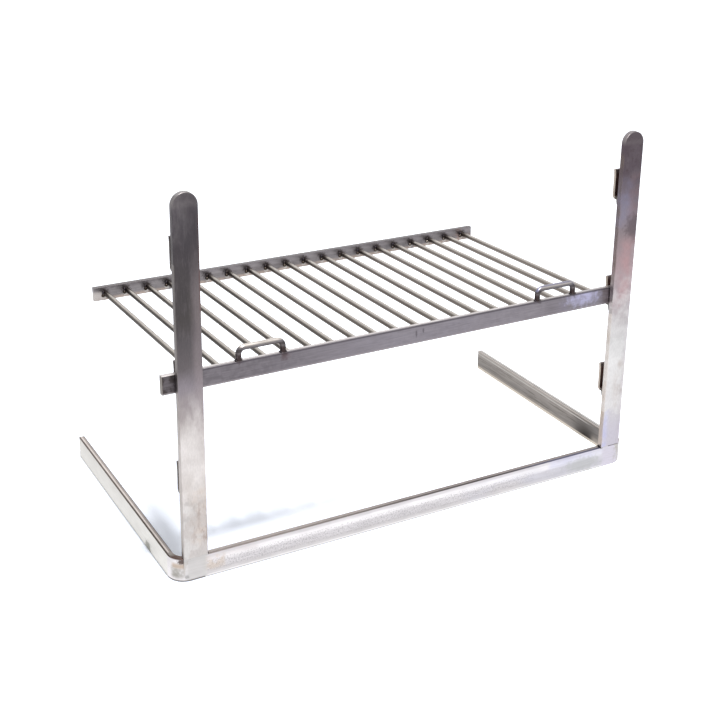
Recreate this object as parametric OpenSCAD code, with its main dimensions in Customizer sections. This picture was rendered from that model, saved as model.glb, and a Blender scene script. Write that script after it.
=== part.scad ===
// Fireplace grill: a bent flat-bar base, two uprights with hooks at three heights, and a
// rod grate with two loop handles that hangs in one pair of hooks and lifts off.
// Millimetres, +Z up. The origin is on the floor, at the centre of the base.

/* [Flat bar of the stand] */
// Width of the bar that the base and the uprights are made of
stand_bar_w = 25.4; // [20:0.1:40]
// Thickness of that bar
stand_bar_t = 6.35; // [4:0.05:10]
// Radius of the eased long edges of every flat bar
edge_r = 0.7; // [0.3:0.1:1.2]

/* [Base] */
// Width over the outer faces of the two legs
base_w = 558.8; // [460:0.1:800]
// Depth from the front rail's face to the ends of the legs
base_d = 300; // [200:1:450]
// Inside radius of the two bends
base_bend_r = 11.65; // [6:0.05:30]

/* [Uprights] */
// Height of the tops of the uprights above the floor
stand_h = 397; // [370:1:520]
// Distance from the base's outer face to the outer edge of an upright
upright_inset = 10.7; // [0:0.1:40]

/* [Hooks] */
// Height of the lowest pair's pocket floor
hook_low_z = 95; // [60:0.5:150]
// Height of the middle pair's pocket floor
hook_mid_z = 200.3; // [180:0.1:230]
// Distance from the tops of the uprights down to the highest pair's pocket floor
hook_high_drop = 73.8; // [60:0.1:110]
// Width of the strip that the hooks are bent from
hook_w = 20; // [12:0.5:22]
// Thickness of that strip
hook_t = 3.2; // [2:0.1:5]
// Height of a hook's lip above its pocket floor
hook_lip_h = 29.3; // [14:0.1:36]
// Inside radius of a hook's bend
hook_bend_r = 0.6; // [0.3:0.1:1]
// How far the tip of the lip leans to the rear
hook_flare = 0.9; // [0:0.1:2]
// Height of the leaning tip
hook_flare_h = 7; // [4:0.5:12]
// Length of the weld below a hook, down the upright
hook_weld_l = 10; // [5:0.5:12]
// Depth of that weld where it meets the hook
hook_weld_d = 4.4; // [3:0.1:6]
// Radius of that weld's crowned face
hook_weld_r = 14; // [12:0.5:40]

/* [Grate] */
// How far each end of the front bar reaches past the outer edge of its upright
front_bar_reach = 8.8; // [0:0.1:30]
// Depth of the grate over both bars
grate_d = 290; // [180:1:400]
// Height of the front bar
front_bar_h = 19.05; // [15:0.05:25]
// Height of the rear bar
rear_bar_h = 15.9; // [12:0.1:25]
// Thickness of both bars
grate_bar_t = 6.35; // [6.2:0.05:10]

/* [Rods] */
// Number of rods
rod_count = 20; // [8:1:24]
// Diameter of a rod
rod_d = 6; // [4:0.1:8]
// Gap between an outermost rod and the hooks beside it, when the grate hangs in the middle
rod_side_gap = 5.5; // [5:0.5:40]
// How far each end of the rear bar reaches past the centre of the outermost rod
rear_bar_reach = 13.5; // [8:0.5:30]
// Radius of the tack weld beside each end of a rod
tack_r = 2.1; // [1.5:0.1:2.5]
// How far below the rod's centre a tack weld sits
tack_drop = 2.2; // [0:0.1:2.5]

/* [Handles] */
// Distance from the end of the front bar to the middle of a handle
handle_inset = 102.5; // [60:0.5:160]
// Distance between the centres of a handle's two feet
handle_span = 47; // [30:0.5:70]
// Height of a handle above the front bar
handle_h = 15.7; // [13:0.1:40]
// Diameter of a handle's rod
handle_rod_d = 6; // [4:0.1:6.1]
// Bend radius of a handle, on the rod's centre line
handle_bend_r = 6.5; // [4:0.1:9]

/* [Hanging] */
// Pair of hooks that the grate hangs in: 0 low, 1 middle, 2 high
hang_level = 1; // [0, 1, 2]
// How far the hung grate tips down to the rear, in degrees
droop = 2.1; // [0:0.1:3]
// How far the hung grate sits to the right of the middle
hang_shift = -4; // [-4.5:0.5:4.5]
// Gap between the front bar and a hook, on every side
seat_gap = 0.4; // [0.3:0.05:1]

/* [Hidden] */
$fn = 48;
base_outer_r = base_bend_r + stand_bar_t;
front_y = -base_d / 2;
upright_x = base_w / 2 - upright_inset - stand_bar_w / 2;
upright_back_y = front_y + stand_bar_t;
hook_floors = [hook_low_z, hook_mid_z, stand_h - hook_high_drop];
// The tipped front bar takes this depth in a pocket, and this much of it hangs below its front edge
bar_reach = grate_bar_t * cos(droop) + front_bar_h * sin(droop);
bar_drop = grate_bar_t * sin(droop);
hook_slot = bar_reach + 2 * seat_gap;
hang_y = upright_back_y + seat_gap;
hang_z = hook_floors[hang_level] + seat_gap + bar_drop;
rod_z = front_bar_h / 2;
rod_len = grate_d - 2 * grate_bar_t;
rod_span = 2 * upright_x - hook_w - 2 * rod_side_gap - rod_d;
rod_pitch = rod_span / (rod_count - 1);
front_bar_w = 2 * upright_x + stand_bar_w + 2 * front_bar_reach;
rear_bar_w = rod_span + 2 * rear_bar_reach;
handle_x = front_bar_w / 2 - handle_inset;
handle_leg_h = handle_h - handle_rod_d / 2 - handle_bend_r;

function rod_name(i) = str("grate_rod_", i < 10 ? "0" : "", i);

// Cross-section of a flat bar, with its corners eased
module bar_section(a, b) {
    translate([edge_r, 0]) square([a - 2 * edge_r, b]);
    translate([0, edge_r]) square([a, b - 2 * edge_r]);
    for (x = [edge_r, a - edge_r], y = [edge_r, b - edge_r])
        translate([x, y]) circle(r = edge_r);
}

// A bar standing on edge, centred on X, with its front face at y = 0 and its lower edge at z = 0
module bar_across(len, t, h) {
    translate([-len / 2, 0, 0])
        rotate([90, 0, 90])
        linear_extrude(len) bar_section(t, h);
}

// Base: one length of flat bar on edge, bent the easy way at both front corners
module base_leg() {
    translate([base_w / 2 - stand_bar_t, base_d, 0])
        rotate([90, 0, 0])
        linear_extrude(base_d - base_outer_r) bar_section(stand_bar_t, stand_bar_w);
    translate([base_w / 2 - base_outer_r, base_outer_r, 0])
        rotate([0, 0, -90])
        rotate_extrude(angle = 90)
        translate([base_bend_r, 0]) bar_section(stand_bar_t, stand_bar_w);
}

module base_frame() {
    color("#c9c4c6")
    translate([0, front_y, 0])
    union() {
        bar_across(base_w - 2 * base_outer_r, stand_bar_t, stand_bar_w);
        base_leg();
        mirror([1, 0, 0]) base_leg();
    }
}

// Upright: a flat bar butt-welded on the rail, with a half-round top that keeps the eased edges
module upright(side) {
    r = stand_bar_w / 2;
    color("#8d8890")
    translate([side * upright_x, front_y, 0])
    union() {
        translate([-r, 0, stand_bar_w])
            linear_extrude(stand_h - r - stand_bar_w) bar_section(stand_bar_w, stand_bar_t);
        translate([0, stand_bar_t, stand_h - r])
            rotate([90, 0, 0])
            rotate_extrude(angle = 180)
            intersection() {
                translate([-r, 0]) bar_section(stand_bar_w, stand_bar_t);
                square([r, stand_bar_t]);
            }
    }
}

// Weld below a hook: a fillet whose face is an arc from the hook's underside to the upright
module hook_weld_outline() {
    chord = norm([hook_weld_d, hook_weld_l]);
    toward_root = [-hook_weld_l, hook_weld_d] / chord;
    centre = [hook_weld_d, -hook_weld_l] / 2
        + toward_root * sqrt(hook_weld_r * hook_weld_r - chord * chord / 4);
    intersection() {
        translate([0, -hook_weld_l]) square([hook_weld_d, hook_weld_l]);
        translate(centre) circle(r = hook_weld_r, $fn = 180);
    }
}

// Side view of a hook: y is measured from the back of the upright, z from the pocket floor
module hook_outline() {
    bend_outer_r = hook_bend_r + hook_t;
    translate([0, -hook_t]) square([hook_slot - hook_bend_r, hook_t]);
    translate([hook_slot - hook_bend_r, hook_bend_r])
        intersection() {
            difference() {
                circle(r = bend_outer_r);
                circle(r = hook_bend_r);
            }
            translate([0, -bend_outer_r]) square(bend_outer_r);
        }
    polygon([
        [hook_slot, hook_bend_r],
        [hook_slot + hook_t, hook_bend_r],
        [hook_slot + hook_t, hook_lip_h - hook_flare_h],
        [hook_slot + hook_t + hook_flare, hook_lip_h],
        [hook_slot + hook_flare, hook_lip_h],
        [hook_slot, hook_lip_h - hook_flare_h]
    ]);
    translate([0, -hook_t]) hook_weld_outline();
}

// Hook: an open pocket behind the upright, so the front bar drops in from above
module hook(side, level) {
    color("#6f625d")
    translate([side * upright_x - hook_w / 2, upright_back_y, hook_floors[level]])
        rotate([90, 0, 90])
        linear_extrude(hook_w) hook_outline();
}

// Puts the flat grate where it hangs: its lower front edge is the line that it tips about
module hung() {
    translate([hang_shift, hang_y, hang_z]) rotate([-droop, 0, 0]) children();
}

module grate_front_bar() {
    color("#77747c")
    hung() bar_across(front_bar_w, grate_bar_t, front_bar_h);
}

module grate_rear_bar() {
    color("#8a8789")
    hung()
        translate([0, grate_d - grate_bar_t, rod_z - rear_bar_h / 2])
        bar_across(rear_bar_w, grate_bar_t, rear_bar_h);
}

// Tack weld: a dome on the face at y = 0, beside the rod and a little below its centre
module tack() {
    translate([-rod_d / 2, 0, -tack_drop])
        rotate([-90, 0, 0])
        rotate_extrude()
        intersection() {
            circle(r = tack_r);
            square(tack_r);
        }
}

// Rod: butts on the inner faces of both bars, tacked on its left at the rear and on its right at the front
module grate_rod(i) {
    color("#a49c96")
    hung()
        translate([(i - 1) * rod_pitch - rod_span / 2, grate_bar_t, rod_z])
        union() {
            rotate([-90, 0, 0]) cylinder(d = rod_d, h = rod_len);
            mirror([1, 0, 0]) tack();
            translate([0, rod_len, 0]) mirror([0, 1, 0]) tack();
        }
}

// Half of a loop handle, from its foot on the bar to the middle of its grip
module handle_half() {
    corner_x = handle_span / 2 - handle_bend_r;
    translate([handle_span / 2, 0, 0]) cylinder(d = handle_rod_d, h = handle_leg_h);
    translate([corner_x, 0, handle_leg_h])
        rotate([90, 0, 0])
        rotate_extrude(angle = 90)
        translate([handle_bend_r, 0]) circle(d = handle_rod_d);
    translate([0, 0, handle_leg_h + handle_bend_r])
        rotate([0, 90, 0]) cylinder(d = handle_rod_d, h = corner_x);
}

// Handle: a rod bent to a flat-topped loop, standing on the middle of the front bar's top edge
module handle(side) {
    color("#5d5650")
    hung()
        translate([side * handle_x, grate_bar_t / 2, front_bar_h])
        union() {
            handle_half();
            mirror([1, 0, 0]) handle_half();
        }
}

base_frame();
upright(-1);  // upright_left
upright(1);  // upright_right
hook(-1, 0);  // hook_left_low
hook(-1, 1);  // hook_left_mid
hook(-1, 2);  // hook_left_high
hook(1, 0);  // hook_right_low
hook(1, 1);  // hook_right_mid
hook(1, 2);  // hook_right_high
grate_front_bar();
grate_rear_bar();
for (i = [1 : rod_count])
    grate_rod(i);
handle(-1);  // handle_left
handle(1);  // handle_right
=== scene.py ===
# %% [markdown]
# # A fireplace grill in raw steel
#
# The object is a welded stand with a loose grate. The stand is flat bar bent to three sides, with two
# uprights that carry hooks at three heights. The grate is a row of round rods between two flat bars, and
# hangs in one pair of hooks. Nothing on it is painted, so its look is all steel: grey scale from the
# rolling mill, pale ground metal where a grinder has been, and brown, straw and violet tints from welding.
#
# The shapes come ready made from the construction model. This lesson gives them their finish, models
# the weld beads by hand, and sets up a plain studio.

# %% Load the grill
import math
import bpy
from mathutils import Matrix, Vector


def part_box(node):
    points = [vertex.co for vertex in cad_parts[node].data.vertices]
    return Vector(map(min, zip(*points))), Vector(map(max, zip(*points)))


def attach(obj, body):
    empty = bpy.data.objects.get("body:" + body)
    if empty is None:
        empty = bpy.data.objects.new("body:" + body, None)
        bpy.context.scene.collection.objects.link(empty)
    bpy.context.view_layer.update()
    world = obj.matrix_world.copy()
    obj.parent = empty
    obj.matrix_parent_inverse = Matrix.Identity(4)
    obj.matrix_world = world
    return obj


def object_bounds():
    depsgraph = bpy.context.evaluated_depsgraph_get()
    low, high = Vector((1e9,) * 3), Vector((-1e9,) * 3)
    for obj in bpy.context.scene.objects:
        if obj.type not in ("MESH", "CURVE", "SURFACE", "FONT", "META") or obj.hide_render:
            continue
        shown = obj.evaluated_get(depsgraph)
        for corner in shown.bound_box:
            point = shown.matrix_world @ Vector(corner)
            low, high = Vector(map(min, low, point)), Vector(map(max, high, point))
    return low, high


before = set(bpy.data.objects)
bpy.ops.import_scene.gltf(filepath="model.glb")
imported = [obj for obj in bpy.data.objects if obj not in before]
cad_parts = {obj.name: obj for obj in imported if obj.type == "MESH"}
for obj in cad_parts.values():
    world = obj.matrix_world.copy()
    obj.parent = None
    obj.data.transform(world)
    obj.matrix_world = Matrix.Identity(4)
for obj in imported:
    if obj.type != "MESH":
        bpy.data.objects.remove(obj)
cad_low, cad_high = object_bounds()
print("size in mm:", [round(v * 1000, 1) for v in cad_high - cad_low])

# %% [markdown]
# ## Two helpers
#
# Lengths are written in millimetres, as on a workshop drawing, and MM turns them to Blender's metres.
# Colours are written as hex codes, as they look on a screen. Shaders work with linear light, so one
# function does that change. The other one adds a shader node: what goes into a socket may be a plain
# value, a hex colour or the output of a node made before, and it gives back one output to go on with.

# %% Units, colours and nodes
MM = 0.001


def colour(code):
    """Linear colour of an sRGB hex code such as #8d8890."""
    parts = [int(code[i:i + 2], 16) / 255 for i in (1, 3, 5)]
    linear = [c / 12.92 if c <= 0.04045 else ((c + 0.055) / 1.055) ** 2.4 for c in parts]
    return (*linear, 1.0)


def add(tree, kind, inputs={}, out=0, **settings):
    """Adds a shader node with its settings, fills its sockets, and gives back one of its outputs."""
    made = tree.nodes.new(kind)
    for option, value in settings.items():
        setattr(made, option, value)
    for socket, value in inputs.items():
        if isinstance(value, bpy.types.NodeSocket):
            tree.links.new(value, made.inputs[socket])
        elif isinstance(value, str):
            made.inputs[socket].default_value = colour(value)
        else:
            made.inputs[socket].default_value = value
    return made.outputs[out] if len(made.outputs) else made


print("mid grey is", [round(c, 3) for c in colour("#808080")])

# %% [markdown]
# ## Camera
#
# The photograph looks down on the left front corner. Its camera was worked out from the straight edges
# of the grill, whose real lengths are known: each edge gives a line, and the lines fix where the camera
# stood. Turning a camera by eye would do for a rough match, but lines this long show every error. The
# picture is a cut from a larger one, so its middle isn't where the lens pointed, and a small vertical
# shift stands in for that.

# %% Set the camera
CAMERA_AT = Vector((-665.0, -1210.6, 731.7)) * MM
CAMERA_TURN = math.radians(29.04)
CAMERA_DOWN = math.radians(19.04)
CAMERA_ROLL = math.radians(0.77)
FOCAL_LENGTH_MM = 66.0
SENSOR_MM = 36.0
PICTURE_SHIFT = -0.151

lens = bpy.data.cameras.new("studio_camera")
lens.lens = FOCAL_LENGTH_MM
lens.sensor_width = SENSOR_MM
lens.shift_y = PICTURE_SHIFT
lens.clip_start = 0.05
lens.clip_end = 50.0
camera = bpy.data.objects.new("studio_camera", lens)
bpy.context.scene.collection.objects.link(camera)
aim = Matrix.Rotation(-CAMERA_TURN, 4, "Z") @ Matrix.Rotation(math.pi / 2 - CAMERA_DOWN, 4, "X")
camera.matrix_world = Matrix.Translation(CAMERA_AT) @ aim @ Matrix.Rotation(CAMERA_ROLL, 4, "Z")
bpy.context.scene.camera = camera
print("camera distance in mm:", round(CAMERA_AT.length / MM))

# %% [markdown]
# ## Floor and light
#
# Bare steel has hardly any colour of its own: it shows what is around it. A white sweep gives quiet pale
# reflections, as in a catalogue picture. Large softboxes alone would light it as evenly, but leave no
# shadow. So one small lamp above the front lights it, the left upright throws its shadow straight back,
# and a wide faint lamp behind takes the hardness off.
#
# The floor glows for the camera and for reflections, so it reads as white. About the left foot, where
# the photograph keeps its shadow, the glow is much less than white and the lamps and the sky fill the
# rest, which leaves room for the real shadow to show. From there it grows outward, until it alone is
# white.

# %% Make the white floor
FLOOR_SIZE = 12.0
GLOW_NEAR = 0.17
GLOW_IN_METAL = 0.52
SHADOW_AT = (-0.25, -0.09, 0.0)
SHADOW_FULL = 0.06
SHADOW_GONE = 0.46

bpy.ops.object.select_all(action="DESELECT")
bpy.ops.mesh.primitive_plane_add(size=FLOOR_SIZE, location=(0, 0, 0))
floor = bpy.context.object
floor.name = "studio_floor"

paper = bpy.data.materials.new("white_paper_sweep")
paper.use_nodes = True
tree = paper.node_tree
tree.nodes.clear()
# A Mix node takes two numbers in its sockets 2 and 3, and two colours in its sockets 6 and 7.
rays = add(tree, "ShaderNodeLightPath").node.outputs
away = {0: add(tree, "ShaderNodeTexCoord", out="Object"), 1: SHADOW_AT}
away = add(tree, "ShaderNodeVectorMath", away, out="Value", operation="DISTANCE")
glow = {"Value": away, "From Min": SHADOW_FULL, "From Max": SHADOW_GONE, "To Min": GLOW_NEAR}
glow = add(tree, "ShaderNodeMapRange", glow, interpolation_type="SMOOTHSTEP")
mirrored = {0: rays["Is Glossy Ray"], 1: rays["Is Transmission Ray"]}
mirrored = add(tree, "ShaderNodeMath", mirrored, operation="MAXIMUM")
glow = add(tree, "ShaderNodeMix", {0: mirrored, 2: glow, 3: GLOW_IN_METAL})
seen = add(tree, "ShaderNodeMath", {0: rays["Is Camera Ray"], 1: mirrored}, operation="MAXIMUM")
glow = add(tree, "ShaderNodeMath", {0: seen, 1: glow}, operation="MULTIPLY")
glow = add(tree, "ShaderNodeEmission", {"Color": "#ffffff", "Strength": glow})
sheet = {0: rays["Is Camera Ray"], 6: "#bdbcbd", 7: "#ebf2ff"}
sheet = add(tree, "ShaderNodeMix", sheet, out=2, data_type="RGBA")
matt = add(tree, "ShaderNodeBsdfDiffuse", {"Color": sheet})
both = add(tree, "ShaderNodeAddShader", {0: glow, 1: matt})
add(tree, "ShaderNodeOutputMaterial", {"Surface": both})
floor.data.materials.append(paper)
print("floor:", FLOOR_SIZE, "m wide")

# %% Set the sky and the lamps
SKY_STRENGTH = 0.5
SKY_IN_METAL = 0.95

world = bpy.data.worlds.new("white_studio")
bpy.context.scene.world = world
world.use_nodes = True
tree = world.node_tree
tree.nodes.clear()
rays = add(tree, "ShaderNodeLightPath").node.outputs
shiny = add(tree, "ShaderNodeMix", {0: rays["Is Glossy Ray"], 2: SKY_STRENGTH, 3: SKY_IN_METAL})
level = add(tree, "ShaderNodeMix", {0: rays["Is Camera Ray"], 2: shiny, 3: 1.0})
sky = add(tree, "ShaderNodeBackground", {"Strength": level, "Color": "#ffffff"})
add(tree, "ShaderNodeOutputWorld", {"Surface": sky})


def strip_lamp(name, place, aim_at, length, width, watts, tint):
    """A flat lamp, length by width in metres, at a place, turned to face a point."""
    lamp = bpy.data.lights.new(name, "AREA")
    lamp.shape = "RECTANGLE"
    lamp.size = length
    lamp.size_y = width
    lamp.energy = watts
    lamp.color = colour(tint)[:3]
    holder = bpy.data.objects.new(name, lamp)
    bpy.context.scene.collection.objects.link(holder)
    holder.location = place
    holder.rotation_euler = (Vector(aim_at) - Vector(place)).to_track_quat("-Z", "Y").to_euler()


strip_lamp("overhead_lamp", (-0.245, -0.505, 1.42), (-0.1, -0.1, 0.1), 0.13, 0.14, 20, "#fffdfb")
strip_lamp("rear_softbox", (0.5, 1.9, 1.2), (0.0, 0.0, 0.1), 2.2, 1.0, 7, "#ffffff")
bpy.context.scene.view_settings.view_transform = "Standard"

# %% [markdown]
# ## Steel, from the mill to the grinder
#
# All the finishes are one metal in different states. Each starts as plain steel of one colour, and gets
# films laid over it, as the real surface did: scale from rolling, heat tints from welding, bright wear.
# A film has a colour, a strength, a region in millimetres with soft edges, and may be broken up into
# patches by noise. A painted picture could hold all this too, but every shape would have to be unwrapped
# for it, and it would blur close up. Nodes need neither. The patterns read Object coordinates, which on
# this model are real places, so a pattern's scale is a real size, and a tint is put where the weld is.
# The grate hangs a little down at the rear, so its finishes first turn the coordinates to its own
# straight axes.

# %% Prepare the steel
GRATE_DROOP = math.radians(2.1)
BAR_THICKNESS = 6.35
front_low, front_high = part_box("grate_front_bar")
GRATE_CORNER = Vector(((front_low.x + front_high.x) / 2, front_low.y,
                       front_low.z + BAR_THICKNESS * MM * math.sin(GRATE_DROOP)))


class SteelFinish:
    """A steel surface in the making: its nodes, its place in metres and its colour so far."""

    def __init__(self, name, skin, on_grate=False):
        self.material = bpy.data.materials.new(name)
        self.material.use_nodes = True
        self.tree = self.material.node_tree
        self.tree.nodes.clear()
        self.place = add(self.tree, "ShaderNodeTexCoord", out="Object")
        if on_grate:
            turned = {"Vector": self.place, "Location": GRATE_CORNER, "Rotation": (-GRATE_DROOP, 0, 0)}
            self.place = add(self.tree, "ShaderNodeMapping", turned, vector_type="TEXTURE")
        self.axes = add(self.tree, "ShaderNodeSeparateXYZ", {0: self.place}).node.outputs
        self.skin = skin

    def region(self, fade_mm, **sides):
        """A share of 1 between two places in mm along x, y or z, fading to 0. None leaves a side open."""
        share = 1.0
        for axis, edges in sides.items():
            for edge, half in zip(edges, (fade_mm / 2, -fade_mm / 2)):
                if edge is None:
                    continue
                limits = {"From Min": (edge - half) * MM, "From Max": (edge + half) * MM}
                limits["Value"] = self.axes["xyz".index(axis)]
                ramp = add(self.tree, "ShaderNodeMapRange", limits, interpolation_type="SMOOTHSTEP")
                share = add(self.tree, "ShaderNodeMath", {0: share, 1: ramp}, operation="MULTIPLY")
        return share

    def patches(self, size_mm, low=0.42, high=0.62, stretch=(1, 1, 1), detail=3.0):
        """Random patches about size_mm wide: 0 where the noise is below low, 1 above high."""
        scaled = add(self.tree, "ShaderNodeVectorMath", {0: self.place, 1: stretch}, operation="MULTIPLY")
        noise = {"Vector": scaled, "Scale": 1 / (size_mm * MM), "Detail": detail, "Roughness": 0.55}
        noise = add(self.tree, "ShaderNodeTexNoise", noise)
        limits = {"Value": noise, "From Min": low, "From Max": high}
        return add(self.tree, "ShaderNodeMapRange", limits, interpolation_type="SMOOTHSTEP")

    def spots(self, centre_mm, radius_mm, fade_mm, repeat_mm=None, squash=(1, 1, 1), ragged=True):
        """A share of 1 near a point in mm, or near a row of points that repeats along x."""
        centre = [c * MM for c in centre_mm]
        away = add(self.tree, "ShaderNodeVectorMath", {0: self.place, 1: centre}, operation="SUBTRACT")
        if repeat_mm:
            parts = add(self.tree, "ShaderNodeSeparateXYZ", {0: away}).node.outputs
            half = repeat_mm / 2 * MM
            wrapped = add(self.tree, "ShaderNodeMath", {0: parts[0], 1: half, 2: -half}, operation="WRAP")
            away = add(self.tree, "ShaderNodeCombineXYZ", {0: wrapped, 1: parts[1], 2: parts[2]})
        away = add(self.tree, "ShaderNodeVectorMath", {0: away, 1: squash}, operation="MULTIPLY")
        far = add(self.tree, "ShaderNodeVectorMath", {0: away}, out="Value", operation="LENGTH")
        if ragged:
            uneven = self.patches(radius_mm, 0.3, 0.7)
            uneven = add(self.tree, "ShaderNodeMapRange", {"Value": uneven, "To Min": 0.75, "To Max": 1.3})
            far = add(self.tree, "ShaderNodeMath", {0: far, 1: uneven}, operation="MULTIPLY")
        limits = {"Value": far, "From Min": (radius_mm + fade_mm) * MM, "From Max": radius_mm * MM}
        return add(self.tree, "ShaderNodeMapRange", limits, interpolation_type="SMOOTHSTEP")

    def film(self, code, share, patch_mm=None, where=None, fade_mm=6.0, low=0.42, high=0.62,
             stretch=(1, 1, 1), **sides):
        """Lays a film of colour over the steel, in a region and, if asked, broken into patches."""
        amount = self.region(fade_mm, **sides)
        for part in (share, where, self.patches(patch_mm, low, high, stretch) if patch_mm else None):
            if part is not None:
                amount = add(self.tree, "ShaderNodeMath", {0: amount, 1: part}, operation="MULTIPLY")
        layers = {0: amount, 6: self.skin, 7: code}
        self.skin = add(self.tree, "ShaderNodeMix", layers, out=2, data_type="RGBA")

    def finish(self, roughness, grain_mm, grain_stretch, grain_depth_mm, grain_share):
        """Adds the grain, as bump and as light and dark lines, and closes the material."""
        # Real mill and grinding marks are about 0.1 mm wide. At this distance they would vanish, so
        # grain_mm is drawn about ten times as coarse, which is as fine as the picture can show.
        grain = self.patches(grain_mm, 0.3, 0.7, grain_stretch, detail=2.0)
        lines = add(self.tree, "ShaderNodeMix", {0: grain, 6: "#b0b0b0", 7: "#ffffff"}, out=2,
                    data_type="RGBA")
        lined = {0: grain_share, 6: self.skin, 7: lines}
        self.skin = add(self.tree, "ShaderNodeMix", lined, out=2, data_type="RGBA", blend_type="MULTIPLY")
        bump = {"Height": grain, "Strength": 0.5, "Distance": grain_depth_mm * MM}
        bump = add(self.tree, "ShaderNodeBump", bump)
        cloud = self.patches(18, 0.3, 0.7)
        rough = {"Value": cloud, "To Min": roughness - 0.05, "To Max": roughness + 0.05}
        rough = add(self.tree, "ShaderNodeMapRange", rough)
        surface = {"Base Color": self.skin, "Metallic": 1.0, "Roughness": rough, "Normal": bump}
        surface = add(self.tree, "ShaderNodeBsdfPrincipled", surface)
        add(self.tree, "ShaderNodeOutputMaterial", {"Surface": surface})
        return self.material


def dress(start, finish):
    """Gives a finish to every construction node whose name begins with these words."""
    nodes = [piece for name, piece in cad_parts.items() if name.startswith(start)]
    for piece in nodes:
        piece.data.materials.clear()
        piece.data.materials.append(finish)
    print(finish.name, "on", len(nodes), "pieces")


print("grate corner in mm:", [round(v / MM, 1) for v in GRATE_CORNER])

# %% [markdown]
# ## Uprights: from mill scale to ground metal
#
# Hot-rolled flat bar leaves the mill with a thin skin of blue-grey oxide, the mill scale. On the real
# uprights it is left on at the top, and worn and ground away toward the foot, where the metal is pale.
# The eye sees a satin bar that goes from charcoal to pale grey. The change follows the height, so a
# colour ramp reads the Z coordinate, with noise added to it to make it drift. The films over it are heat
# tints, wear, painted highlights along the edges and the rounded tops, and painted reflections that make
# the narrow side faces darker above and paler below.

# %% Start an upright's finish
UPRIGHT_INNER_X = 243.3
UPRIGHT_OUTER_X = 268.7
UPRIGHT_MIDDLE_X = 256.0
UPRIGHT_GRAIN_MM = 1.2
ALONG_UPRIGHT = (1, 1, 0.3)


def mill_scale_by_height(name, stops, drift_mm):
    """A finish whose colour follows the height, from (height in mm, colour) pairs, lowest first."""
    steel = SteelFinish(name, stops[0][1])
    drift = {"Value": steel.patches(45, 0.2, 0.8, detail=4.0)}
    drift.update({"To Min": -drift_mm * MM, "To Max": drift_mm * MM})
    drift = add(steel.tree, "ShaderNodeMapRange", drift)
    height = add(steel.tree, "ShaderNodeMath", {0: steel.axes[2], 1: drift}, operation="ADD")
    top = cad_high.z
    height = add(steel.tree, "ShaderNodeMath", {0: height, 1: top}, operation="DIVIDE")
    steel.skin = add(steel.tree, "ShaderNodeValToRGB", {"Fac": height})
    marks = steel.skin.node.color_ramp.elements
    marks.remove(marks[1])
    marks[0].position = stops[0][0] * MM / top
    marks[0].color = colour(stops[0][1])
    for height_mm, code in stops[1:]:
        marks.new(height_mm * MM / top).color = colour(code)
    return steel


def inside_highlit_rim(steel, middle_x):
    """The flat part of an upright's rounded top, inside its rim, which is painted bright as a highlight.
    """
    return steel.spots((middle_x, 0, 384.3), 11.3, 1.4, squash=(1, 0, 1), ragged=False)


print("uprights from x =", UPRIGHT_INNER_X, "to", UPRIGHT_OUTER_X, "mm on either side")

# %% Left upright
left = mill_scale_by_height("hot_rolled_left_upright", [
    (0, "#c8c5c4"), (45, "#ccc7c5"), (100, "#d2cdca"), (118, "#e4e0df"), (150, "#d2cdcb"),
    (168, "#b0a9a9"), (188, "#958d91"), (205, "#8f8990"), (225, "#6c676a"), (250, "#5f5b5e"),
    (280, "#565251"), (345, "#514d51"), (397, "#5e595f")], 7)
# edges: a painted reflection lightens the left side face; the right is lighter, then reddish at its edge
left.film("#8f8a88", 0.6, x=(None, 0.5 - UPRIGHT_OUTER_X), z=(150, 330), fade_mm=0.8)
left.film("#a1969a", 0.4, x=(-252, None), where=left.region(70, z=(150, 325)), fade_mm=8)
left.film("#6d3f38", 0.45, x=(-244.6, None), z=(280, 375), fade_mm=1.6)
# the dark upper part, and its top with a painted highlight along its rim
left.film("#474449", 0.35, patch_mm=14, stretch=(1, 1, 0.25), z=(255, 380), fade_mm=20,
          low=0.3, high=0.7)
left.film("#938f8e", 0.75, z=(385, None), fade_mm=8)
left.film("#645f64", 0.95, where=inside_highlit_rim(left, -UPRIGHT_MIDDLE_X), z=(384, None), fade_mm=14)
left.film("#817b80", 0.18, patch_mm=2.4, stretch=(1, 1, 0.2), z=(250, 392), fade_mm=20,
          low=0.45, high=0.7)
left.film("#4f4a4e", 0.5, patch_mm=12, x=(-267, -245), z=(335, 396), fade_mm=5, low=0.3, high=0.7)
left.film("#8b8788", 0.35, patch_mm=8, stretch=(1, 1, 0.3), x=(None, -255), z=(352, None), fade_mm=14,
          low=0.3, high=0.7)
# the pale foot: whitish and grey clouds, and brown traces of the weld's heat
left.film("#efecec", 0.5, patch_mm=12, stretch=(1, 1, 0.4), z=(75, 190), fade_mm=40,
          low=0.35, high=0.65)
left.film("#c3bfbe", 0.5, z=(None, 75), fade_mm=40)
left.film("#dfdfdf", 0.5, patch_mm=9, x=(None, -250), z=(18, 84), fade_mm=10, low=0.42, high=0.6)
left.film("#b9b7b6", 0.45, patch_mm=11, x=(None, -252), z=(18, 100), fade_mm=10, low=0.5, high=0.66)
left.film("#cdbfb4", 0.45, patch_mm=10, x=(-259, None), z=(38, 100), fade_mm=12, low=0.35, high=0.65)
left.film("#8a6f60", 0.5, patch_mm=5, stretch=(1, 1, 0.5), x=(-258, None), z=(40, 84), fade_mm=10,
          low=0.45, high=0.7)
left.film("#b5b0ae", 0.35, patch_mm=22, z=(60, 200), fade_mm=20, low=0.3, high=0.7)
# the left side face painted paler low down, as a painted reflection
left.film("#a8a3a1", 0.6, x=(None, -268), z=(None, 175), fade_mm=0.8)
left.film("#7e746c", 0.4, x=(-244.4, None), z=(40, 70), fade_mm=2)
dress("upright_left", left.finish(0.4, UPRIGHT_GRAIN_MM, ALONG_UPRIGHT, 0.012, 0.16))

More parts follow.
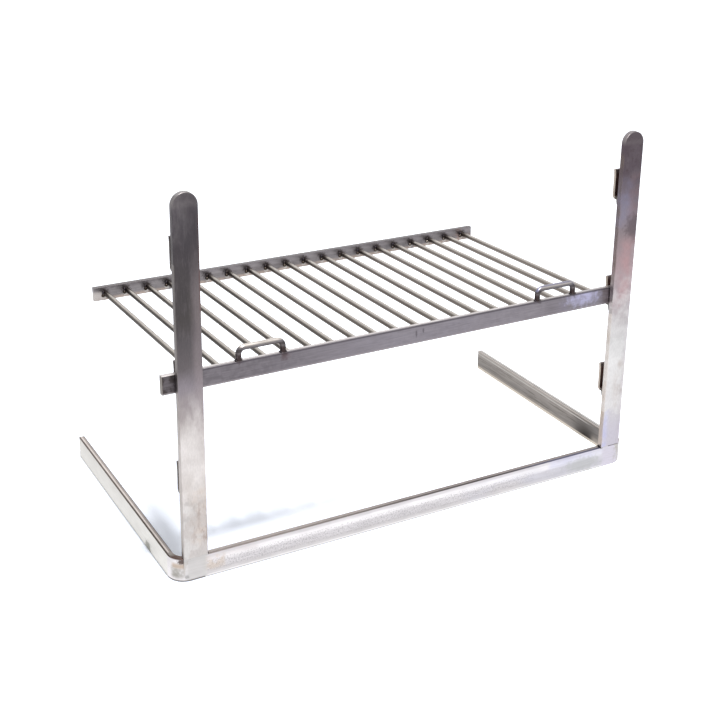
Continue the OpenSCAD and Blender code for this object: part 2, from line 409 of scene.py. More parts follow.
# %% Right upright
right = mill_scale_by_height("hot_rolled_right_upright", [
    (0, "#d2cfdb"), (40, "#cfccda"), (62, "#dbdadd"), (110, "#dddcdd"), (130, "#eaeaeb"),
    (155, "#d5d5d6"), (185, "#c3bec1"), (215, "#b6abb1"), (250, "#b0a0a5"), (285, "#998d92"),
    (310, "#938a94"), (335, "#7f757f"), (355, "#655a62"), (397, "#5c5159")], 6)
right_inner_edge = (None, UPRIGHT_INNER_X + 0.6)
# heat tints of the high hook's weld: blue, red-brown, one dark burn, and pink below
right.film("#9498bb", 0.5, patch_mm=20, x=(243, 257), z=(292, 345), fade_mm=12, low=0.25, high=0.75)
right.film("#96777a", 0.4, patch_mm=14, x=(255, None), z=(300, 350), fade_mm=8, low=0.3, high=0.7)
right.film("#5f545a", 0.6, where=right.spots((264, -150, 290), 6, 9, squash=(1, 0.1, 0.8)))
right.film("#c69da0", 0.55, patch_mm=26, x=(248, None), z=(195, 275), fade_mm=20, low=0.3, high=0.6)
right.film("#6a6167", 0.2, x=(262, None), z=(245, 390), fade_mm=6)
# a painted highlight on the right edge, a painted reflection on the inner side face, and the pale middle
right.film("#bcb7bd", 0.35, x=(263, None), z=(None, 270), fade_mm=5)
right.film("#7d716b", 0.6, patch_mm=14, x=right_inner_edge, z=(190, 384), fade_mm=1.2,
           low=0.3, high=0.7)
right.film("#c9bcb0", 0.6, x=right_inner_edge, z=(25, 190), fade_mm=1.2)
right.film("#a8988f", 0.6, patch_mm=9, stretch=(1, 1, 0.5), x=(256, 266), z=(75, 130), fade_mm=12,
           low=0.35, high=0.65)
right.film("#efeff0", 0.45, patch_mm=15, z=(70, 230), fade_mm=30, low=0.35, high=0.65)
# the foot's violet tint, which ends in a round top
round_tint = right.spots((253, -150, 40), 21, 5, squash=(1, 0, 0.85))
right.film("#b9bde4", 0.8, patch_mm=12, where=round_tint, x=(None, 250.5), y=(None, -149), fade_mm=9,
           low=0.2, high=0.6)
right.film("#b4a698", 0.6, x=right_inner_edge, z=(25, 70), fade_mm=1.2)
right.film("#c2bfc9", 0.55, where=round_tint, x=(250, None), fade_mm=5)
# the dark top, with painted highlights along its rim and the upper part of its right side
right.film("#7a7278", 0.5, patch_mm=14, x=(246, 266), z=(330, 390), fade_mm=8, low=0.3, high=0.7)
right.film("#979192", 0.75, z=(385, None), fade_mm=8)
right.film("#675e64", 0.95, where=inside_highlit_rim(right, UPRIGHT_MIDDLE_X), z=(384, None), fade_mm=14)
right.film("#4b3f3e", 0.3, patch_mm=4, x=(246, 266), z=(340, 396), fade_mm=5, low=0.55, high=0.7)
right.film("#a39c9c", 0.55, x=(UPRIGHT_OUTER_X - 0.8, None), z=(300, 386), fade_mm=0.8)
dress("upright_right", right.finish(0.38, UPRIGHT_GRAIN_MM, ALONG_UPRIGHT, 0.012, 0.16))

# %% [markdown]
# ## Base: ground faces and scaled edges
#
# The base is hot-rolled flat bar too, run along a grinder on its wide faces, while its narrow edges kept
# their brown scale, which on top is darkened further by painted shade. On the rail the grinder bit one
# band, so the eye sees a bright band and a grey grainy belt below it. The bright line above the floor is
# a painted reflection of the floor on the rounded lower edge, with a thin line of painted shade below it.
# The belt's grain is drawn more than ten times as coarse as real grinding marks, which are too fine to
# show. Under each upright a strip was ground smooth to level the weld.

# %% Rail face
bar_low, bar_high = (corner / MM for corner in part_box("base_frame"))
rail_y, leg_x, bar_top = bar_low.y, bar_high.x, bar_high.z
rail_face = {"y": (None, rail_y + 1)}
rail_back = {"y": (rail_y + BAR_THICKNESS - 0.35, rail_y + BAR_THICKNESS + 0.25)}
base = SteelFinish("ground_flat_bar_base", "#e8e6e9")
base.film("#d2d0d3", 0.7, patch_mm=34)
base.film("#a8a09a", 0.7, **rail_back, x=(20 - leg_x, leg_x - 20), fade_mm=0.4)
# the bright band, duller at its left end and above
base.film("#f8f7fa", 0.8, **rail_face, x=(-225, 256), z=(14.5, 21), fade_mm=4)
base.film("#fdfcfe", 0.7, **rail_face, x=(60, 225), z=(16, 21), fade_mm=4)
base.film("#d3cdce", 0.5, **rail_face, x=(None, -190), z=(17, None), fade_mm=6)
base.film("#cfccd0", 0.75, **rail_face, x=(-246, 150), z=(21.8, None), fade_mm=4)
# the belt, with a violet bloom above its right end, and its grain in dark and light
base.film("#c4c2c3", 0.75, **rail_face, x=(-246, None), z=(None, 8), fade_mm=3)
base.film("#bdc0e4", 0.6, patch_mm=16, **rail_face, x=(170, 260), z=(15, None), fade_mm=8,
          stretch=(0.4, 1, 1), low=0.2, high=0.6)
base.film("#b7b5b9", 0.62, **rail_face, x=(-246, None), z=(5.5, 15), fade_mm=5)
base.film("#7d7b80", 0.5, patch_mm=1.5, **rail_face, x=(-246, 150), z=(6, 18), fade_mm=4,
          low=0.5, high=0.6)
base.film("#f2f1f1", 0.42, patch_mm=1.9, **rail_face, x=(-246, 200), z=(6, 19), fade_mm=4,
          low=0.55, high=0.65)
base.film("#c5c8d8", 0.6, patch_mm=24, **rail_face, x=(60, None), z=(None, 21), fade_mm=20,
          stretch=(0.3, 1, 1), low=0.35, high=0.6)
base.film("#c9b59c", 0.5, patch_mm=8, **rail_face, x=(-249, -226), z=(7, 22), fade_mm=5,
          low=0.38, high=0.55)
# a painted reflection of the white floor on the rounded lower edge, and a thin line of painted shade where
# it turns under
base.film("#eeeeef", 0.8, **rail_face, x=(-246, None), z=(None, 2.6), fade_mm=1.2)
base.film("#9b9b9d", 0.7, **rail_face, x=(-246, None), z=(None, 1.1), fade_mm=0.5)
print("rail face at y =", round(rail_y, 1), "mm, top at", round(bar_top, 1), "mm")

# %% Corners and outer faces
# the strips ground smooth under the uprights, and what is left beside them
base.film("#c6c5c5", 0.92, y=(None, rail_y + 3), x=(-266, -245), fade_mm=5)
base.film("#d2cfdb", 0.92, y=(None, rail_y + 3), x=(246, 268), fade_mm=6)
base.film("#b4b8b6", 0.5, where=base.spots((218, rail_y, 11), 5.0, 6.0, squash=(0.35, 0.2, 1)))
base.film("#b8b4b4", 0.5, patch_mm=6, x=(262, None), y=(None, -138), z=(3, 22), fade_mm=3,
          low=0.4, high=0.6)
base.film("#77797b", 0.5, where=base.spots((-266, rail_y, 5), 1.2, 2.0))
# the left bend: scale that the grinder missed, straw above it, and a dark spot at the weld
base.film("#8f8d84", 0.8, patch_mm=7, x=(-leg_x - 1, -268), y=(rail_y - 3, -139), z=(4, 16), fade_mm=6,
          low=0.2, high=0.6)
base.film("#b59f88", 0.7, x=(-leg_x - 1, -267), y=(rail_y - 3, -140), z=(15, 20), fade_mm=4)
base.film("#4b3a33", 0.9, where=base.spots((-269.5, -148.1, 22.3), 1.6, 2.2, squash=(0.6, 0.6, 1)))
# the left leg's pale face with one grey-green spot, and the right leg's
base.film("#dededa", 0.85, x=(None, 0.5 - leg_x), y=(-132, None), fade_mm=1)
base.film("#b9bab6", 0.6, x=(None, 0.5 - leg_x), y=(-132, None), z=(None, 2.5), fade_mm=2.5)
base.film("#75776c", 0.8, where=base.spots((-leg_x, -77, 3.2), 3.6, 7.0))
base.film("#d9d4d6", 0.5, x=(leg_x - 0.5, None), fade_mm=1)
# lower edges: thin lines of painted shade where the bars meet the floor
base.film("#5a5650", 0.85, x=(None, -247), y=(None, -132), z=(None, 1.6), fade_mm=0.9)
base.film("#6b6765", 0.6, y=(rail_y + 2, None), z=(None, 1.1), fade_mm=0.8)
print("outer faces at x = +-", round(leg_x, 1), "mm")

# %% [markdown]
# The inner face of the right leg was never ground: to the eye it is the darkest of the base, brownish
# grey, and near black at one place near the corner. A thin painted highlight runs below its upper arris,
# with a line of painted shade near the corner, and its lower edge is painted bright as a reflection of
# the floor. The narrow top edges are brown scale darkened by painted shade, with dark lines and painted
# highlights along their arrises. Each line is a film a millimetre or two wide. Bevels could catch the
# light in the same way, but the construction pieces keep their exact shape.

# %% Inner faces
inner = leg_x - BAR_THICKNESS
right_inner = {"x": (inner - 0.4, inner + 0.4)}
left_inner = {"x": (-inner - 0.4, 0.4 - inner)}
# the right leg's scale, paler above and to the rear, and near black at one place
base.film("#817d7a", 0.9, **right_inner, y=(-141, None), fade_mm=0.5)
base.film("#6a6460", 0.5, patch_mm=22, **right_inner, y=(-141, None), z=(3, 23), fade_mm=2,
          stretch=(1, 0.3, 1))
base.film("#a8a29d", 0.8, where=base.region(24, y=(-62, None), z=(16, None)), **right_inner,
          fade_mm=0.5)
near_black_patch = base.region(31, y=(-101, -68), z=(None, 16))
base.film("#2b2522", 0.9, where=near_black_patch, **right_inner, fade_mm=0.5)
# pale and dark streaks along it
base.film("#a29d98", 0.5, patch_mm=2.5, **right_inner, y=(-60, None), fade_mm=1,
          stretch=(1, 0.05, 1), low=0.5, high=0.62)
base.film("#4f4a46", 0.45, patch_mm=2.0, **right_inner, y=(-140, None), fade_mm=1,
          stretch=(1, 0.05, 1), low=0.52, high=0.62)
# it is paler low down, and at the corner
base.film("#a29b95", 0.6, where=base.region(60, y=(-50, None)), **right_inner, z=(None, 6.5),
          fade_mm=0.5)
base.film("#b0a8a0", 0.7, where=base.region(9, y=(None, -97), z=(None, 9)), **right_inner,
          fade_mm=0.5)
# below its upper arris: a pale strip, a line of painted shade near the corner, and a painted highlight
# line
base.film("#aeaaa6", 0.85, **right_inner, y=(-141, None), z=(22.4, None), fade_mm=0.5)
base.film("#5f5954", 0.7, where=base.region(90, y=(None, -45)), **right_inner, z=(22.6, 24.8),
          fade_mm=0.5)
base.film("#c6c2be", 0.9, where=base.region(30, y=(-88, None)), **right_inner, z=(20.7, 22.3),
          fade_mm=0.5)
# its lower edge, painted bright as a reflection of the floor, and the left leg's plainer inner face
base.film("#ddd5c9", 0.9, x=(inner - 0.8, inner + 0.5), y=(-141, None), z=(None, 3.6), fade_mm=1.4)
base.film("#a89f98", 0.8, **left_inner, y=(-141, None), fade_mm=0.5)
print("inner faces at x = +-", round(inner, 1), "mm")

# %% Top edges
top_edge = {"z": (bar_top - 0.35, None)}
# all round: brown scale, darkened by painted shade, and darker at the left
base.film("#a3958c", 0.9, **top_edge, fade_mm=0.3)
base.film("#7b6f69", 0.6, patch_mm=30, **top_edge, x=(None, 0), fade_mm=0.3, stretch=(0.4, 0.4, 1))
darker_forward = base.region(170, y=(None, 30))
base.film("#57504c", 0.7, where=darker_forward, **top_edge, x=(None, 1 - inner), fade_mm=0.3)
# the rail's, darker to the right, and its front arris, blue at the right end
rail_top = {**top_edge, "y": (None, rail_y + 7)}
rail_arris = {"z": (bar_top - 0.8, None), "y": (None, rail_y + 1.8)}
darker_to_right = base.region(240, x=(-40, None))
base.film("#a59d9a", 0.9, **rail_top, x=(-246, 246), fade_mm=0.4)
base.film("#857c7a", 0.8, where=darker_to_right, **rail_top, x=(None, 246), fade_mm=0.4)
base.film("#786f6c", 0.7, **rail_arris, x=(-246, 246), fade_mm=0.8)
base.film("#3f3a3e", 0.75, where=darker_to_right, **rail_arris, x=(None, 246), fade_mm=0.8)
base.film("#6a6b84", 0.7, where=base.region(80, x=(140, None)), **rail_arris, x=(None, 246), fade_mm=0.8)
# the left bend's and the left leg's: dark outside, a painted highlight line, dark inside
base.film("#55413b", 0.9, z=(bar_top - 1.0, None), y=(None, rail_y + 12), x=(-279, -262), fade_mm=1.5)
base.film("#8d8683", 0.8, x=(None, 1 - inner), y=(-135, None), **top_edge, fade_mm=0.3)
base.film("#40362f", 0.9, x=(None, 1.3 - leg_x), z=(bar_top - 1.1, None), fade_mm=0.6)
base.film("#8a807a", 0.6, x=(None, 1.3 - leg_x), z=(bar_top - 1.1, None), y=(-20, None), fade_mm=60)
base.film("#3f3733", 0.8, x=(-inner - 1.0, None), z=(bar_top - 0.9, None), y=(-130, None), fade_mm=0.6)
base.film("#cdc4bf", 0.8, x=(1.7 - leg_x, 3.2 - leg_x), z=(bar_top - 0.4, None), y=(-130, None),
          fade_mm=0.8)
# the right leg's: pale, with a dark line and a painted highlight on its inner arris
right_leg_top = {"x": (inner - 1, None), "y": (-128, None)}
base.film("#c6c3c1", 0.85, **top_edge, **right_leg_top, fade_mm=0.4)
base.film("#e4e1df", 0.25, where=base.region(160, y=(None, 20)), **top_edge, **right_leg_top,
          fade_mm=0.4)
base.film("#4e4742", 0.7, z=(bar_top - 0.6, None), x=(inner + 1.1, inner + 2.9), y=(-128, None),
          fade_mm=0.7)
base.film("#b9b1ab", 0.8, z=(bar_top - 1.3, None), x=(inner - 1, inner + 0.8), y=(-128, None),
          fade_mm=0.6)
# painted shade in the right foot's inner corner, and in the slit that was left unwelded there
SLIT_FROM_X = 253.0
base.film("#2a2422", 0.9, where=base.spots((243.4, rail_y + 1.5, bar_top), 1.4, 1.6))
base.film("#2e2728", 0.9, x=(SLIT_FROM_X + 0.5, 270), y=(None, rail_y + 3), z=(bar_top - 0.8, None),
          fade_mm=0.5)
dress("base_frame", base.finish(0.38, 1.2, (0.06, 0.06, 1), 0.02, 0.15))

# %% [markdown]
# ## Grate bars
#
# The front bar keeps most of its mill scale, a satin violet grey: charcoal toward the left end, a violet
# bloom near the right end, and a painted highlight along its top between two darker lines. The rear bar
# is burnt around each rod, because each rod end was welded there, with a painted sheen between the rods
# and a small painted glint below each, and pale brown along its lower edge.

# %% Front bar
FRONT_BAR_TOP_Z = 19.05
HANDLE_X = (-175, 175)
FOOT_OUT = 23.5
along_bar = (0.05, 1, 1)
front = SteelFinish("hot_rolled_front_bar", "#938f98", on_grate=True)
front.film("#9a959b", 0.5, patch_mm=38, stretch=(0.4, 1, 1), low=0.3, high=0.7)
# from charcoal at the left to the violet bloom at the right
front.film("#6b676c", 0.75, x=(None, -110), fade_mm=170)
front.film("#474242", 0.95, x=(None, -246), fade_mm=24)
front.film("#7a747c", 0.45, patch_mm=20, x=(130, 196), fade_mm=26, low=0.3, high=0.7)
front.film("#918c9c", 0.6, patch_mm=14, x=(180, 240), fade_mm=16, low=0.3, high=0.7)
front.film("#c2c1e0", 0.9, where=front.spots((211, 0, 13.5), 4.5, 8.0, squash=(0.42, 0, 1)))
front.film("#6a5f60", 0.7, x=(236, None), fade_mm=10)
front.film("#5e4c50", 0.6, where=front.spots((-150, 0, 16), 2.5, 5.0))
front.film("#8b868d", 0.4, patch_mm=6, low=0.4, high=0.6)
# edges: the lower one rubbed, the top painted bright as a highlight, with darker lines before and behind
front.film("#aaa4a7", 0.7, z=(None, 1.8), fade_mm=1.6)
front.film("#c9c3c2", 0.9, z=(FRONT_BAR_TOP_Z - 0.3, None), fade_mm=0.4)
front.film("#77706f", 0.75, z=(FRONT_BAR_TOP_Z - 0.3, None), y=(4.9, None), fade_mm=0.8)
front.film("#57525a", 0.75, z=(17.3, None), y=(None, 2.2), x=(-240, None), fade_mm=1.0)
# two small nicks in the middle, the rubbed left end, and the burns at the handles' feet
for mark_x, mark_z, flat in ((-2.0, 10.5, 0.28), (6.3, 12.5, 0.42)):
    mark = front.spots((mark_x, 0, mark_z), 0.6, 0.9, squash=(1, 0, flat))
    front.film("#524e55", 0.6, where=mark)
front.film("#8e8884", 0.85, x=(None, -277.1), fade_mm=0.5)
for handle_x in HANDLE_X:
    for foot_x in (handle_x - FOOT_OUT, handle_x + FOOT_OUT):
        front.film("#4d4244", 0.5, where=front.spots((foot_x, 3.2, 19.5), 3.6, 2.0))
dress("grate_front_bar", front.finish(0.4, 1.3, along_bar, 0.02, 0.3))

# %% Rear bar
ROD_PITCH = 25
ROD_AXIS_Z = 9.525
FIRST_ROD_X = -237.5
REAR_FACE_Y = 283.65
rear = SteelFinish("hot_rolled_rear_bar", "#7f7c80", on_grate=True)
rear.film("#716b6c", 0.6, patch_mm=30, stretch=(0.5, 1, 1), low=0.3, high=0.7)
rear.film("#a19da2", 0.7, where=rear.region(160, x=(-160, None)), z=(11.5, None), fade_mm=3)
# between the rods: a painted sheen, and brown below
pale = rear.spots((FIRST_ROD_X + 11, REAR_FACE_Y, 8), 4.5, 5.5, ROD_PITCH, (0.6, 0, 1))
rear.film("#a5a1a3", 0.4, where=pale, patch_mm=12, stretch=(1, 1, 0.6), low=0.25, high=0.55)
rear.film("#c3b4aa", 0.8, patch_mm=14, z=(None, 5.0), fade_mm=3.5, low=0.25, high=0.5)
# the far side's blue tints, which the welding heat drove through
rear.film("#6f6c7d", 0.6, patch_mm=9, y=(REAR_FACE_Y + 4, None), fade_mm=2, low=0.3, high=0.6)
# at the rods: a burn, and below each a small painted glint
burn = rear.spots((FIRST_ROD_X - 2, REAR_FACE_Y, 11), 2.2, 4.2, ROD_PITCH, (0.8, 0, 1.1))
rear.film("#5b5456", 0.75, where=burn)
rear.film("#3a3233", 0.6, where=burn, patch_mm=2.4, low=0.45, high=0.6, y=(None, REAR_FACE_Y + 3),
          fade_mm=2)
glint_below_rod = rear.spots((FIRST_ROD_X - 2.2, REAR_FACE_Y, 5.6), 1.6, 1.6, ROD_PITCH, (1, 0, 0.8))
rear.film("#cfccca", 0.7, where=glint_below_rod, y=(None, REAR_FACE_Y + 3), fade_mm=2)
# the two ends, pale and brown, and the dark top edge
rear.film("#cfcac8", 0.9, patch_mm=9, x=(None, -241), z=(None, 12), fade_mm=4, low=0.25, high=0.5)
rear.film("#a3867e", 0.6, patch_mm=12, x=(225, None), fade_mm=10)
rear.film("#595353", 0.85, z=(17.25, None), fade_mm=0.4)
dress("grate_rear_bar", rear.finish(0.36, 1.3, along_bar, 0.02, 0.3))

# %% [markdown]
# ## Rods, handles and hooks
#
# The rods are 6 mm hot-rolled round. Bands across the height give each rod a painted highlight on its
# top and painted shade on the flank below, and the shade is darker on the left of the grate. The ends
# are burnt by the welds. The handles are the same rod, darker, because a bent piece is seldom rubbed, and
# carry a painted highlight on top and painted shade on their far side and underside. The hooks are thin
# strip, dark reddish brown inside as painted shade, with bright sheared edges.

# %% Rods
rods = SteelFinish("hot_rolled_grate_rod", "#5a5149", on_grate=True)
# flanks, painted shade: dark at the left of the grate and lighter at the right
rods.film("#38302a", 0.9, x=(None, -110), fade_mm=220)
rods.film("#8a827c", 0.95, x=(90, None), fade_mm=220)
# tops with a painted highlight, and the painted shade of the left rods' flanks reaching higher
rods.film("#99938f", 0.9, z=(ROD_AXIS_Z + 1.4, None), fade_mm=2.2)
left_rods = rods.region(200, x=(None, -90))
rods.film("#352d28", 0.9, where=left_rods, z=(None, ROD_AXIS_Z + 2.1), fade_mm=1.4)
rods.film("#b1aba5", 0.95, z=(ROD_AXIS_Z + 2.55, None), fade_mm=1.1)
rods.film("#9a938c", 0.7, where=left_rods, z=(ROD_AXIS_Z + 2.4, None), fade_mm=1.1)
# wear along them, and burnt ends
rods.film("#8c867f", 0.3, patch_mm=22, stretch=(1, 0.25, 1), low=0.3, high=0.7)
rods.film("#3d342f", 0.75, patch_mm=5, y=(268, None), fade_mm=16, low=0.25, high=0.5)
rods.film("#4a403a", 0.6, patch_mm=5, y=(None, 18), fade_mm=12, low=0.25, high=0.5)
dress("grate_rod", rods.finish(0.33, 1.0, (1, 0.05, 1), 0.015, 0.2))

# %% Handles
handles = SteelFinish("bent_handle_rod", "#767173", on_grate=True)
# a painted highlight on top, painted shade on the far side and underside, and a blue tint on the right one
handles.film("#85838a", 0.6, patch_mm=14, z=(27, None), fade_mm=5, low=0.3, high=0.7)
handles.film("#cfc8c2", 0.9, z=(32.6, None), fade_mm=1.8)
handles.film("#5a5556", 0.9, y=(4.4, None), fade_mm=1.6)
handles.film("#453f40", 0.8, z=(27.5, 30.6), fade_mm=1.2)
handles.film("#8586a0", 0.75, x=(100, None), z=(29, None), y=(0.9, None), fade_mm=1.2)
# feet burnt by their welds
handles.film("#332626", 0.85, patch_mm=6, z=(None, 26), fade_mm=5, low=0.2, high=0.45)
dress("handle", handles.finish(0.32, 1.6, (0.3, 1, 0.3), 0.002, 0.1))

# %% Hooks
hooks = SteelFinish("sheared_hook_strip", "#6d6260")
hooks.film("#857b76", 0.5, patch_mm=7, low=0.3, high=0.7)
# inside the J, dark reddish brown as painted shade, and greenish grey against the upright
hooks.film("#5f3f39", 0.85, y=(-136.6, -135.4), fade_mm=0.5)
hooks.film("#6b7068", 0.6, patch_mm=5, y=(None, -136.6), fade_mm=1, low=0.35, high=0.55)
for edge_x, code in ((-266, "#5b5552"), (-246, "#b3a79d"), (246, "#d0c5ba"), (266, "#8c837c")):
    hooks.film(code, 0.85, x=(edge_x - 0.35, edge_x + 0.35), y=(-136.4, None), fade_mm=0.3)
dress("hook", hooks.finish(0.45, 1.1, (0.3, 1, 1), 0.02, 0.2))

# %% [markdown]
# ## Weld beads
#
# A weld run is a row of small puddles, each frozen over the one before, so its surface is rippled. A bump
# could draw the ripples on a smooth bar, but these beads show in outline, so they are real shapes. As by
# hand, a bead starts as a small disc, is drawn out step by step, and each ring is swollen or pinched in
# turn. One bead is modelled for each length, and copied to every place that has that weld. Each copy
# has its own mesh, and lies sunk to its middle in the corner that it fills.
#
# The beads on the grate were left burnt: the eye sees near-black crust with grey and violet glints. Those
# behind the uprights were wire-brushed, and shine on the crests of their ripples.

# %% Model a weld bead
def weld_bead(length_mm, radius_mm, ripple_mm):
    """A rippled run of weld along X from the origin."""
    bpy.ops.object.select_all(action="DESELECT")
    bpy.ops.mesh.primitive_circle_add(vertices=12, radius=radius_mm * MM, fill_type="NGON",
                                      rotation=(0, math.pi / 2, 0))
    bead = bpy.context.object
    bpy.ops.object.transform_apply(location=True, rotation=True, scale=True)
    bpy.ops.object.mode_set(mode="EDIT")
    bpy.ops.mesh.select_all(action="SELECT")
    bpy.ops.transform.resize(value=(1, 0.45, 0.45))
    # its rings swell at the start, then go out and in with each ripple, and close at the end
    ripples = round(length_mm / ripple_mm)
    swells = [1.75, 1.15] + [1.16, 0.86] * ripples + [0.8, 0.55]
    step = length_mm / len(swells) * MM
    for ring, swell in enumerate(swells, start=1):
        bpy.ops.mesh.extrude_region_move(TRANSFORM_OT_translate={"value": (step, 0, 0)})
        bpy.ops.transform.resize(value=(1, swell, swell), center_override=(ring * step, 0, 0))
    bpy.ops.mesh.select_all(action="SELECT")
    bpy.ops.mesh.normals_make_consistent(inside=False)
    bpy.ops.object.mode_set(mode="OBJECT")
    bpy.ops.object.shade_smooth_by_angle(angle=math.radians(60))
    print("bead of", length_mm, "mm:", len(bead.data.polygons), "faces")
    return bead


def lay(bead, name, place, finish, body):
    """Copies a bead to a place, as a piece of its own with its own mesh."""
    piece = bpy.data.objects.new(name, bead.data.copy())
    bpy.context.scene.collection.objects.link(piece)
    piece.data.transform(place)
    piece.data.materials.clear()
    piece.data.materials.append(finish)
    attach(piece, body)


def to_grate(x, y, z):
    """A point in the grate's own straight axes, in mm, as a place in the frame."""
    turn = Matrix.Rotation(-GRATE_DROOP, 4, "X")
    return Matrix.Translation(GRATE_CORNER) @ turn @ Matrix.Translation(Vector((x, y, z)) * MM)


# %% Weld finishes
burnt = SteelFinish("burnt_weld_bead", "#3a3231")
burnt.film("#6d6563", 0.6, patch_mm=1.6, low=0.5, high=0.62)
burnt.film("#45434f", 0.6, patch_mm=4)
burnt = burnt.finish(0.5, 0.8, (1, 1, 1), 0.03, 0.3)
bright = SteelFinish("wire_brushed_weld_bead", "#8e8680")
bright.film("#5a4c45", 0.6, patch_mm=3)
bright.film("#c9c2bb", 0.6, patch_mm=1.4, low=0.5, high=0.62)
bright = bright.finish(0.38, 0.8, (1, 1, 1), 0.03, 0.3)
print("weld finishes:", burnt.name, bright.name)

# %% [markdown]
# Each rod has a short tack of weld at each end: at the rear on its left, standing up the bar's face, and
# at the front on its right.

# %% Rod tacks
ROD_COUNT = 20
ROD_RADIUS = 3.0
tack = weld_bead(4.4, 1.25, 1.1)
stand_up = Matrix.Rotation(-math.pi / 2, 4, "Y")
for n in range(ROD_COUNT):
    rod_x = FIRST_ROD_X + ROD_PITCH * n
    rear_place = to_grate(rod_x - ROD_RADIUS, REAR_FACE_Y - 0.4, ROD_AXIS_Z - 1.2) @ stand_up
    front_place = to_grate(rod_x + ROD_RADIUS, BAR_THICKNESS + 0.4, ROD_AXIS_Z - 2.6) @ stand_up
    lay(tack, f"rear_tack_{n + 1:02d}", rear_place, burnt, "grate")
    lay(tack, f"front_tack_{n + 1:02d}", front_place, burnt, "grate")
bpy.data.objects.remove(tack)
print("tacks:", 2 * ROD_COUNT)

# %% Handle welds
BESIDE_FOOT = 2.8
foot_bead = weld_bead(4.2, 1.0, 1.0)
across = Matrix.Rotation(math.pi / 2, 4, "Z")
for side, handle_x in zip(("left", "right"), HANDLE_X):
    for foot, out in (("low", -1), ("high", 1)):
        for edge, way in (("a", -1), ("b", 1)):
            x = handle_x + FOOT_OUT * out + BESIDE_FOOT * way
            place = to_grate(x, 1.1, FRONT_BAR_TOP_Z + 0.2) @ across
            lay(foot_bead, f"handle_weld_{side}_{foot}_{edge}", place, burnt, "grate")
bpy.data.objects.remove(foot_bead)
print("handle welds: 8")

# %% [markdown]
# Below each hook the strip is welded to the back of the upright, with one run across its width.

# %% Hook welds
UPRIGHT_BACK_Y = -143.65
HOOK_BEAD_MM = 19
hook_bead = weld_bead(HOOK_BEAD_MM, 1.9, 1.5)
hook_names = [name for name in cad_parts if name.startswith("hook_")]
for name in hook_names:
    low, high = (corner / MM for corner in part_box(name))
    start_x = (low.x + high.x) / 2 - HOOK_BEAD_MM / 2
    place = Matrix.Translation(Vector((start_x, UPRIGHT_BACK_Y + 0.9, low.z + 1.6)) * MM)
    lay(hook_bead, name.replace("hook", "hook_weld"), place, bright, "stand")
bpy.data.objects.remove(hook_bead)
print("hook welds:", len(hook_names))

# %% [markdown]
# ## The feet of the uprights
#
# Each upright stands on the rail and is welded there. In front the weld is ground flush, so a thin strip
# of filler closes the groove between the two bars. At the outer corner the rail bends away beneath the
# upright, and a wedge of filler, ground down to nothing, takes up the step. The bars themselves come
# ready made, so the filler is modelled as pieces of its own, each a block with one side pulled to shape.
# To the eye it is the same pale satin as the ground rail. The right foot was welded only over part of
# its width, and an open slit is left. A small bead runs along the inner side of each foot, and a longer
# one along its back.

# %% Filler finish
filler = SteelFinish("ground_flush_weld", "#c6c5c5")
filler.film("#bdb7b4", 0.4, patch_mm=3)
filler.film("#c4bdb6", 0.4, x=(None, -267.6), z=(None, 23), fade_mm=2)
filler = filler.finish(0.38, 1.2, (0.06, 0.06, 1), 0.02, 0.2)
print("filler finish:", filler.name)

# %% Shape blocks as by hand
def start_block(x_range, y_range, z_range):
    """A block between two corners in mm, with nothing on it selected, ready for shaping."""
    middle = [sum(pair) / 2 * MM for pair in (x_range, y_range, z_range)]
    size = [(pair[1] - pair[0]) * MM for pair in (x_range, y_range, z_range)]
    bpy.ops.object.select_all(action="DESELECT")
    bpy.ops.mesh.primitive_cube_add(size=1, location=middle, scale=size)
    block = bpy.context.object
    bpy.ops.object.transform_apply(location=True, rotation=True, scale=True)
    bpy.ops.object.mode_set(mode="EDIT")
    bpy.ops.mesh.select_all(action="DESELECT")
    bpy.ops.object.mode_set(mode="OBJECT")
    return block


def shape(block, chosen, kind, change):
    """Selects the faces or corners that pass a test on their place, and changes them."""
    bpy.context.tool_settings.mesh_select_mode = (kind == "corners", False, kind == "faces")
    bpy.ops.object.mode_set(mode="EDIT")
    bpy.ops.mesh.select_all(action="DESELECT")
    bpy.ops.object.mode_set(mode="OBJECT")
    for part in (block.data.vertices if kind == "corners" else block.data.polygons):
        place = part.co if kind == "corners" else part.center
        part.select = chosen(place / MM)
    bpy.ops.object.mode_set(mode="EDIT")
    change()
    bpy.ops.mesh.select_all(action="DESELECT")
    bpy.ops.object.mode_set(mode="OBJECT")


def keep(block, name, finish):
    """Names a shaped block, gives it its finish and fixes it to the stand."""
    block.name = name
    block.data.materials.append(finish)
    bpy.ops.object.shade_smooth_by_angle(angle=math.radians(30))
    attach(block, "stand")
    print(name, len(block.data.polygons), "faces")


print("block tools:", start_block.__name__, shape.__name__, keep.__name__)

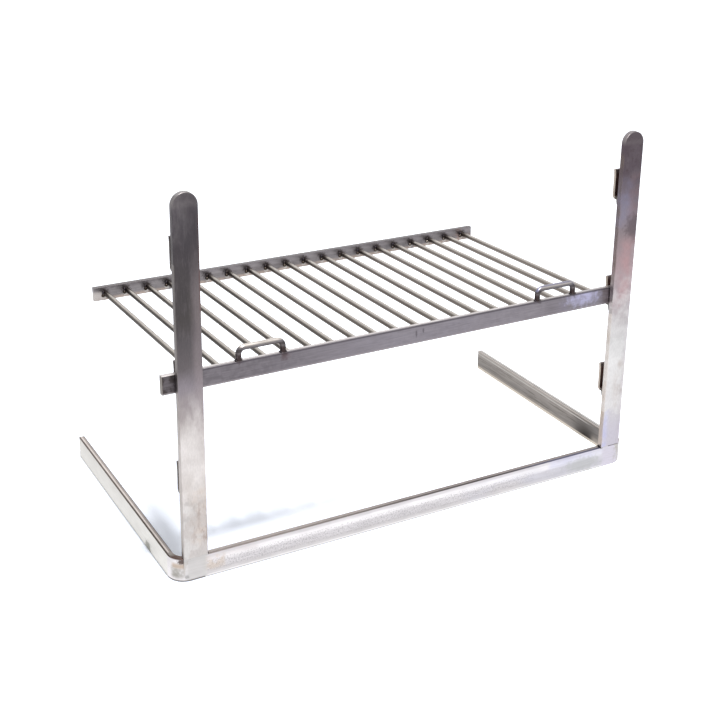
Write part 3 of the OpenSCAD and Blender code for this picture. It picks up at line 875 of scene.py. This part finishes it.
# %% Flush strips and wedges
FRONT_Y = -150.0
GROOVE_LOW_Z = 24.7
STRIP_DEPTH = 1.4
BEND_START_X = 261.4
WEDGE_DEPTH = 3
WEDGE_LOW_Z = 3


def widen_inward():
    """Makes a strip's inner side taller, so that it reaches into both bars."""
    bpy.ops.transform.resize(value=(1, 1, 2.4))


def sink_into_rail():
    """Moves a wedge's lower front edge back into the rail, so that it ends at nothing."""
    bpy.ops.transform.translate(value=(0, 1.75 * MM, 0))


left_ends = (-UPRIGHT_OUTER_X, -UPRIGHT_INNER_X)
right_ends = (UPRIGHT_INNER_X, SLIT_FROM_X)
for side, ends in (("left", left_ends), ("right", right_ends)):
    strip = start_block(ends, (FRONT_Y, FRONT_Y + STRIP_DEPTH), (GROOVE_LOW_Z, bar_top))
    shape(strip, lambda p: p.y > FRONT_Y + STRIP_DEPTH - 0.1, "faces", widen_inward)
    keep(strip, "foot_strip_" + side, filler)
for side, sign, wedge_top in (("left", -1, bar_top), ("right", 1, GROOVE_LOW_Z)):
    ends = sorted((sign * UPRIGHT_OUTER_X, sign * BEND_START_X))
    wedge = start_block(ends, (FRONT_Y, FRONT_Y + WEDGE_DEPTH), (WEDGE_LOW_Z, wedge_top))
    shape(wedge, lambda p: p.y < FRONT_Y + 1 and p.z < WEDGE_LOW_Z + 1, "corners", sink_into_rail)
    keep(wedge, "foot_wedge_" + side, filler)

# %% Foot beads
BACK_BEAD_MM = 23
side_bead = weld_bead(6.2, 1.3, 1.2)
back_bead = weld_bead(BACK_BEAD_MM, 1.8, 1.5)
for side, sign in (("left", -1), ("right", 1)):
    place = Vector((sign * UPRIGHT_INNER_X, FRONT_Y + 0.2, bar_top)) * MM
    place = Matrix.Translation(place) @ across
    lay(side_bead, "foot_bead_" + side, place, burnt, "stand")
    start_x = sign * UPRIGHT_MIDDLE_X - BACK_BEAD_MM / 2
    place = Matrix.Translation(Vector((start_x, UPRIGHT_BACK_Y + 0.3, bar_top)) * MM)
    lay(back_bead, "foot_back_bead_" + side, place, bright, "stand")
bpy.data.objects.remove(side_bead)
bpy.data.objects.remove(back_bead)
print("foot beads: 4")
